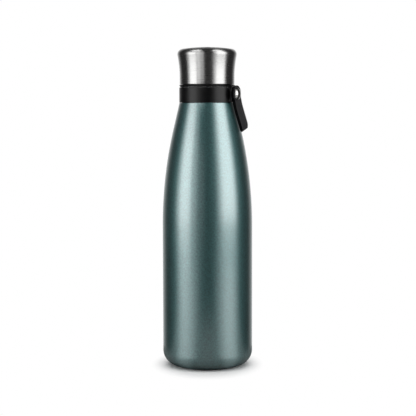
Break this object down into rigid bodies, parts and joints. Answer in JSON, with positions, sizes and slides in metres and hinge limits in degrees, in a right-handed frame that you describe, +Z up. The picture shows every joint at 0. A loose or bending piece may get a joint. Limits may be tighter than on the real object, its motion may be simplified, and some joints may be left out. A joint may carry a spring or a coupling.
{
  "type": "vacuum flask",
  "caption": "Slim steel vacuum flask with a long tapered shoulder, a black swivel collar carrying a riveted strap, and a flared steel screw cap with an insulated stopper.",
  "frame": {"origin": "on the bottle's axis, on the surface that it stands on", "axes": "+Z up along the bottle's axis, the picture's front is -Y, +X is to the right seen from the front"},
  "size_m": [0.0728, 0.0728, 0.2577],
  "materials": {
    "teal_pearl_paint": "satin",
    "polished_steel": "polished",
    "brushed_steel": "satin",
    "black_plastic": "matte",
    "clear_silicone": "satin",
    "white_foam": "matte",
    "copper_foil": "satin",
    "getter_metal": "matte",
    "solder": "satin",
    "black_leather": "satin",
    "polished_chrome": "polished"
  },
  "bodies": {
    "bottle": {"outer_shell": "teal_pearl_paint", "inner_vessel": "polished_steel", "radiation_shield": "copper_foil", "getter": "getter_metal", "base_plate": "polished_steel", "vacuum_seal": "solder", "base_cover": "brushed_steel"},
    "collar": {"collar_ring": "black_plastic", "rivet_post": "polished_chrome", "rivet_washer": "polished_chrome", "rivet_cap": "polished_chrome"},
    "strap": {"strap": "black_leather"},
    "seal": {"stopper_seal": "clear_silicone"},
    "cap": {"cap_shell": "brushed_steel", "cap_liner": "black_plastic", "cap_foam": "white_foam", "stopper_stem": "black_plastic", "stem_foam": "white_foam", "stopper_cover": "black_plastic", "rim_gasket": "clear_silicone"}
  },
  "joints": [
    {"name": "collar_swivel", "type": "hinge", "parent": "bottle", "child": "collar", "pos_m": [0, 0, 0.21985], "axis": [0, 0, 1], "continuous": true},
    {"name": "strap_swing", "type": "hinge", "parent": "collar", "child": "strap", "pos_m": [0.02289, -0.01217, 0.2205], "axis": [0.8829, -0.4695, 0], "continuous": true},
    {"name": "cap_rise", "type": "slide", "parent": "bottle", "child": "seal", "axis": [0, 0, 1], "range_m": [0, 0.048]},
    {"name": "cap_turn", "type": "hinge", "parent": "seal", "child": "cap", "pos_m": [0, 0, 0.235], "axis": [0, 0, 1], "range_deg": [0, 1440]}
  ],
  "couplings": [
    {"joint": "cap_rise", "follows": "cap_turn", "m_per_rad": 0.0019099}
  ]
}
